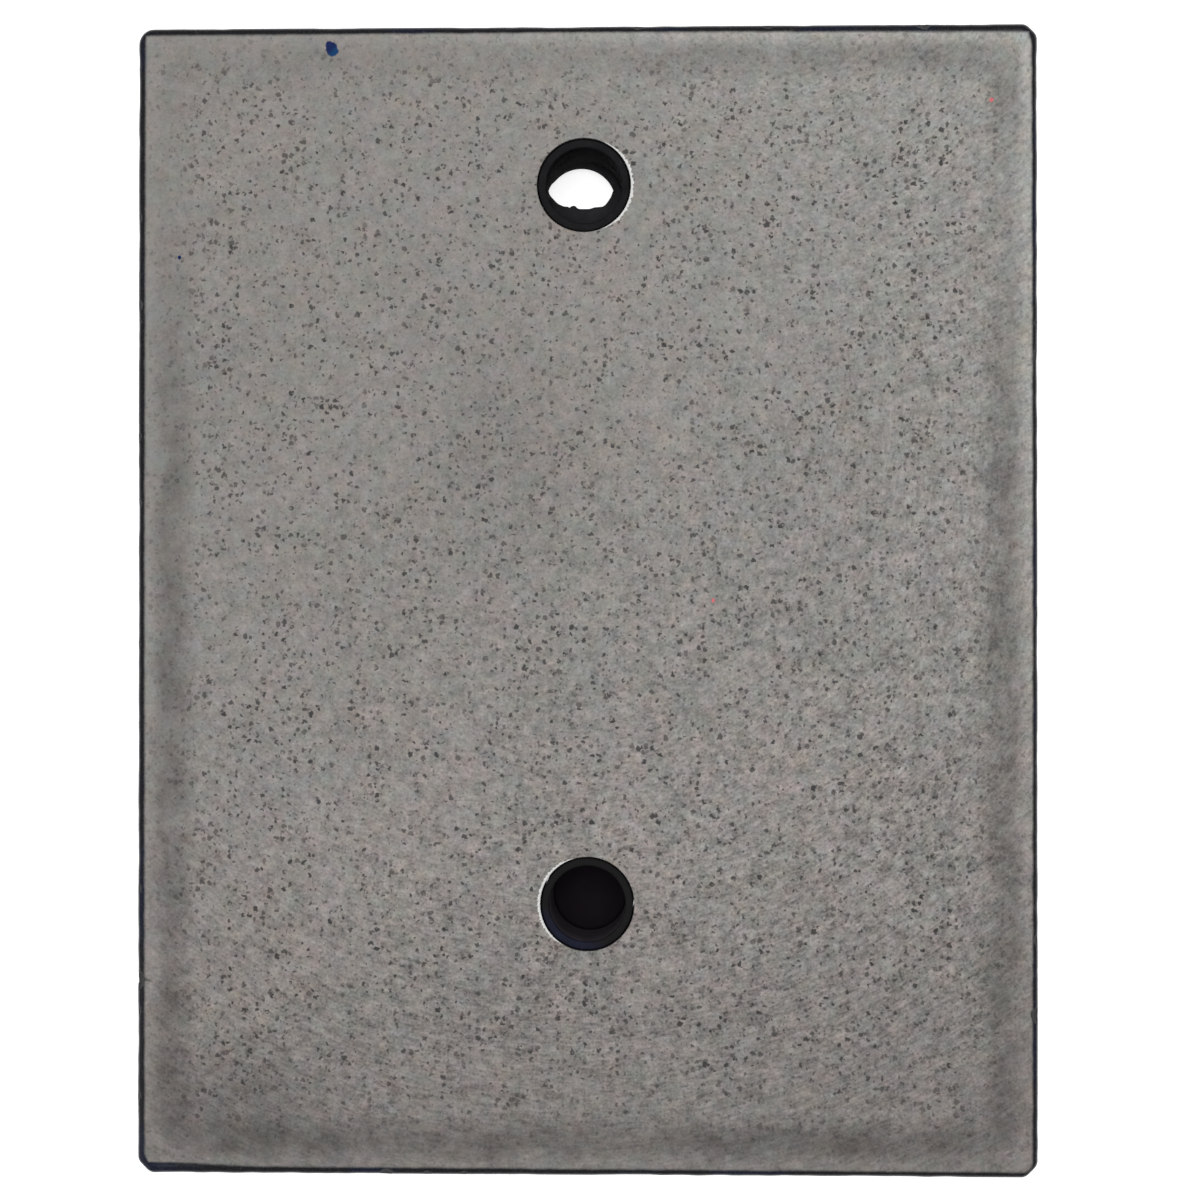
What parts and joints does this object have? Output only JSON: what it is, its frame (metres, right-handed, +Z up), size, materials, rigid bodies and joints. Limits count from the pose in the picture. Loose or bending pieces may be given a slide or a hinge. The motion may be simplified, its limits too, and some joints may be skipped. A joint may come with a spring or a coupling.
{
  "type": "granite tooling slab",
  "caption": "Thick rectangular granite slab with a honed work face, eased dark edges and lined bores on its centreline, standing on rubber feet, for tooling and stamping leather.",
  "frame": {"origin": "on the standing plane, under the middle of the slab's outline", "axes": "+X across the slab, +Y along it towards the end nearest to the open bore, +Z up through the work face"},
  "size_m": [0.235, 0.3, 0.0343],
  "materials": {
    "granite": "matte",
    "liner_rubber": "matte",
    "foot_rubber": "matte"
  },
  "bodies": {
    "root": {"granite_slab": "granite", "upper_bore_liner": "liner_rubber", "lower_bore_liner": "liner_rubber", "foot_rear_left": "foot_rubber", "foot_rear_right": "foot_rubber", "foot_front_left": "foot_rubber", "foot_front_right": "foot_rubber"}
  },
  "joints": []
}
